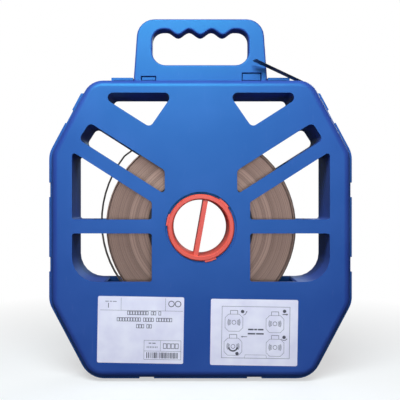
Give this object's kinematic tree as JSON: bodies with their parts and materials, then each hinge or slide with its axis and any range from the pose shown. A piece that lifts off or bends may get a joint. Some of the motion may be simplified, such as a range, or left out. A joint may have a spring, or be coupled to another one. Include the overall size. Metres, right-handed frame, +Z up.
{
  "type": "steel strapping dispenser",
  "caption": "Hand-carried strapping dispenser: windowed two-shell plastic case, carry handle, finger-hub reel of stainless strip with its end drawn out at a top corner.",
  "frame": {"origin": "centre of the case's footprint, on the surface that it stands on", "axes": "+Z up to the handle, +X across the case to the corner that the strap leaves by, -Y out of the front face"},
  "size_m": [0.3006, 0.046, 0.3572],
  "materials": {
    "blue_polypropylene": "satin moulded polypropylene",
    "red_polypropylene": "satin moulded polypropylene",
    "black_polypropylene": "matt moulded polypropylene",
    "stainless_strip": "cold-rolled strip"
  },
  "bodies": {
    "case": {"front_shell": "blue_polypropylene", "rear_shell": "blue_polypropylene", "carry_handle": "blue_polypropylene", "drawn_strap": "stainless_strip"},
    "reel": {"front_hub": "red_polypropylene", "rear_hub": "red_polypropylene", "reel_core": "black_polypropylene", "strap_pack": "stainless_strip"}
  },
  "joints": [
    {"name": "reel_spin", "type": "hinge", "parent": "case", "child": "reel", "pos_m": [0, 0, 0.1502], "axis": [0, 1, 0], "continuous": true}
  ]
}
